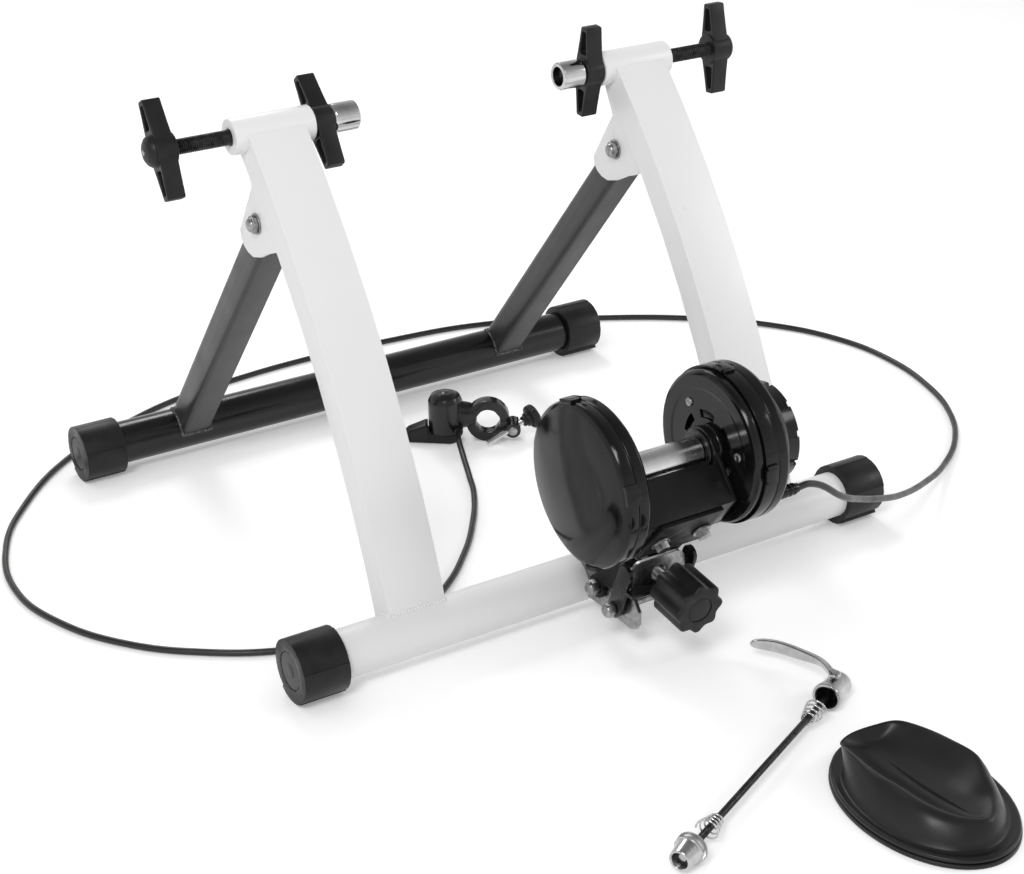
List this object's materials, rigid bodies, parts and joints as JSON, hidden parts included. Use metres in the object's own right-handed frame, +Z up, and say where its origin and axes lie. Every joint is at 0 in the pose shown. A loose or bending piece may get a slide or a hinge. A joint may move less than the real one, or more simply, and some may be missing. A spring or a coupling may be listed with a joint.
{
  "type": "wheel on turbo trainer",
  "caption": "Folding magnetic turbo trainer stand for a bicycle's rear wheel, with arched legs, screw axle clamps, a roller unit, a cable shifter, a quick release skewer and a front wheel block",
  "frame": {"origin": "on the floor, below the middle of the box of everything but the free cable", "axes": "+X along the base tubes to the side with the magnets, +Y from the roller unit to the rear tube, +Z up"},
  "size_m": [0.8958, 0.9661, 0.3994],
  "materials": {
    "white_paint": "smooth gloss white powder coat",
    "grey_paint": "satin dark grey powder coat",
    "black_paint": "gloss black powder coat",
    "black_steel": "black oxide steel, satin",
    "zinc_steel": "zinc plated steel, satin grey",
    "chrome": "polished chrome plate",
    "brushed_steel": "turned and ground bright steel",
    "cast_steel": "machined steel disc",
    "gloss_plastic": "gloss black moulded housing",
    "matte_plastic": "black moulded plastic with a fine grain",
    "grey_plastic": "dark grey moulded plastic",
    "black_rubber": "matte black rubber"
  },
  "bodies": {
    "front_frame": {"front_base_tube": "white_paint", "left_leg": "white_paint", "right_leg": "white_paint", "left_axle_sleeve": "white_paint", "right_axle_sleeve": "white_paint", "left_hinge_bracket": "white_paint", "right_hinge_bracket": "white_paint", "left_pivot_bolt": "zinc_steel", "right_pivot_bolt": "zinc_steel", "left_pivot_nut": "zinc_steel", "right_pivot_nut": "zinc_steel", "base_bracket": "zinc_steel", "stirrup": "black_steel", "arm_pivot_bolt": "zinc_steel", "stirrup_bolt": "zinc_steel", "cable": "black_rubber"},
    "rear_frame": {"rear_base_tube": "black_paint", "left_rear_leg": "grey_paint", "right_rear_leg": "grey_paint"},
    "front_left_foot": {"front_left_foot": "matte_plastic"},
    "front_right_foot": {"front_right_foot": "matte_plastic"},
    "rear_left_foot": {"rear_left_foot": "matte_plastic"},
    "rear_right_foot": {"rear_right_foot": "matte_plastic"},
    "left_clamp": {"left_axle_cup": "chrome"},
    "left_screw": {"left_axle_rod": "black_steel", "left_turn_handle": "matte_plastic"},
    "left_lock": {"left_lock_handle": "matte_plastic"},
    "right_clamp": {"right_axle_cup": "chrome"},
    "right_screw": {"right_axle_rod": "black_steel", "right_turn_handle": "matte_plastic"},
    "right_lock": {"right_lock_handle": "matte_plastic"},
    "unit_arm": {"swing_arm": "black_steel", "yoke": "black_steel", "left_yoke_bolt": "zinc_steel", "right_yoke_bolt": "zinc_steel", "left_bearing": "brushed_steel", "right_bearing": "brushed_steel", "flywheel_inner_cover": "gloss_plastic", "flywheel_outer_cover": "gloss_plastic", "rotor_inner_cover": "gloss_plastic", "magnet_housing": "gloss_plastic", "magnet_cover": "gloss_plastic"},
    "adjuster": {"adjusting_screw": "zinc_steel", "adjusting_knob": "matte_plastic"},
    "drive": {"roller": "brushed_steel", "roller_shaft": "brushed_steel", "flywheel": "cast_steel", "rotor_disc": "cast_steel"},
    "magnets": {"magnet_plate": "cast_steel"},
    "shifter": {"shifter_body": "matte_plastic"},
    "shifter_lever": {"shifter_lever": "matte_plastic"},
    "shifter_strap": {"shifter_strap": "matte_plastic"},
    "shifter_clamp_screw": {"shifter_clamp_screw": "grey_plastic"},
    "skewer": {"skewer_rod": "black_steel", "skewer_head": "chrome", "skewer_nut_spring": "brushed_steel", "skewer_head_spring": "brushed_steel"},
    "skewer_lever": {"skewer_lever": "chrome"},
    "skewer_nut": {"skewer_nut": "chrome"},
    "wheel_block": {"wheel_block": "black_rubber"}
  },
  "joints": [
    {"name": "rear_frame_fold", "type": "hinge", "parent": "front_frame", "child": "rear_frame", "pos_m": [0, 0.18161, 0.29134], "axis": [-1, 0, 0], "range_deg": [0, 62]},
    {"name": "front_left_foot_turn", "type": "hinge", "parent": "front_frame", "child": "front_left_foot", "pos_m": [-0.254, -0.01912, 0.026], "axis": [1, 0, 0], "range_deg": [0, 288]},
    {"name": "front_right_foot_turn", "type": "hinge", "parent": "front_frame", "child": "front_right_foot", "pos_m": [0.254, -0.01912, 0.026], "axis": [1, 0, 0], "range_deg": [0, 288]},
    {"name": "rear_left_foot_turn", "type": "hinge", "parent": "rear_frame", "child": "rear_left_foot", "pos_m": [-0.254, 0.40688, 0.026], "axis": [1, 0, 0], "range_deg": [0, 288]},
    {"name": "rear_right_foot_turn", "type": "hinge", "parent": "rear_frame", "child": "rear_right_foot", "pos_m": [0.254, 0.40688, 0.026], "axis": [1, 0, 0], "range_deg": [0, 288]},
    {"name": "left_clamp_slide", "type": "slide", "parent": "front_frame", "child": "left_clamp", "axis": [1, 0, 0], "range_m": [0, 0.028]},
    {"name": "left_screw_turn", "type": "hinge", "parent": "left_clamp", "child": "left_screw", "pos_m": [-0.2, 0.18608, 0.3615], "axis": [1, 0, 0], "range_deg": [0, 5760]},
    {"name": "left_lock_turn", "type": "hinge", "parent": "front_frame", "child": "left_lock", "pos_m": [-0.124, 0.18608, 0.3615], "axis": [-1, 0, 0], "range_deg": [0, 360]},
    {"name": "right_clamp_slide", "type": "slide", "parent": "front_frame", "child": "right_clamp", "axis": [-1, 0, 0], "range_m": [0, 0.028]},
    {"name": "right_screw_turn", "type": "hinge", "parent": "right_clamp", "child": "right_screw", "pos_m": [0.2, 0.18608, 0.3615], "axis": [-1, 0, 0], "range_deg": [0, 5760]},
    {"name": "right_lock_turn", "type": "hinge", "parent": "front_frame", "child": "right_lock", "pos_m": [0.124, 0.18608, 0.3615], "axis": [1, 0, 0], "range_deg": [0, 360]},
    {"name": "unit_arm_swing", "type": "hinge", "parent": "front_frame", "child": "unit_arm", "pos_m": [0, -0.05312, 0.036], "axis": [1, 0, 0], "range_deg": [-3, 4]},
    {"name": "adjuster_turn", "type": "hinge", "parent": "front_frame", "child": "adjuster", "pos_m": [0, -0.09462, 0.06], "axis": [0, -0.9925, -0.1219], "range_deg": [-400, 530]},
    {"name": "drive_spin", "type": "hinge", "parent": "unit_arm", "child": "drive", "pos_m": [0, -0.0917, 0.15104], "axis": [1, 0, 0], "continuous": true},
    {"name": "magnet_plate_turn", "type": "hinge", "parent": "unit_arm", "child": "magnets", "pos_m": [0, -0.0917, 0.15104], "axis": [1, 0, 0], "range_deg": [0, 33]},
    {"name": "shifter_lift", "type": "slide", "parent": "front_frame", "child": "shifter", "axis": [0, 0, 1], "range_m": [0, 0.1]},
    {"name": "shifter_lever_turn", "type": "hinge", "parent": "shifter", "child": "shifter_lever", "pos_m": [0.04275, 0.29925, 0.005], "axis": [0, 0, -1], "range_deg": [0, 100]},
    {"name": "shifter_strap_open", "type": "hinge", "parent": "shifter", "child": "shifter_strap", "pos_m": [0.06023, 0.28854, 0.02], "axis": [0.5225, 0.8526, 0], "range_deg": [0, 33]},
    {"name": "shifter_clamp_screw_turn", "type": "hinge", "parent": "shifter_strap", "child": "shifter_clamp_screw", "pos_m": [0.06365, 0.26064, 0.005], "axis": [0.9545, -0.0021, 0.2982], "range_deg": [0, 1440]},
    {"name": "skewer_lift", "type": "slide", "parent": "front_frame", "child": "skewer", "axis": [0, 0, 1], "range_m": [0, 0.2]},
    {"name": "skewer_lever_turn", "type": "hinge", "parent": "skewer", "child": "skewer_lever", "pos_m": [0.0579, -0.23414, 0.0212], "axis": [0, 0, -1], "range_deg": [0, 180]},
    {"name": "skewer_nut_turn", "type": "hinge", "parent": "skewer", "child": "skewer_nut", "pos_m": [-0.1455, -0.33062, 0.011], "axis": [0.9035, 0.4286, 0], "range_deg": [-360, 1440]},
    {"name": "wheel_block_lift", "type": "slide", "parent": "front_frame", "child": "wheel_block", "axis": [0, 0, 1], "range_m": [0, 0.2]}
  ],
  "couplings": [
    {"joint": "left_screw_turn", "follows": "left_clamp_slide", "rad_per_m": 3590.4},
    {"joint": "right_screw_turn", "follows": "right_clamp_slide", "rad_per_m": 3590.4},
    {"joint": "adjuster_turn", "follows": "unit_arm_swing", "ratio": 130},
    {"joint": "shifter_lever_turn", "follows": "magnet_plate_turn", "ratio": 3}
  ]
}
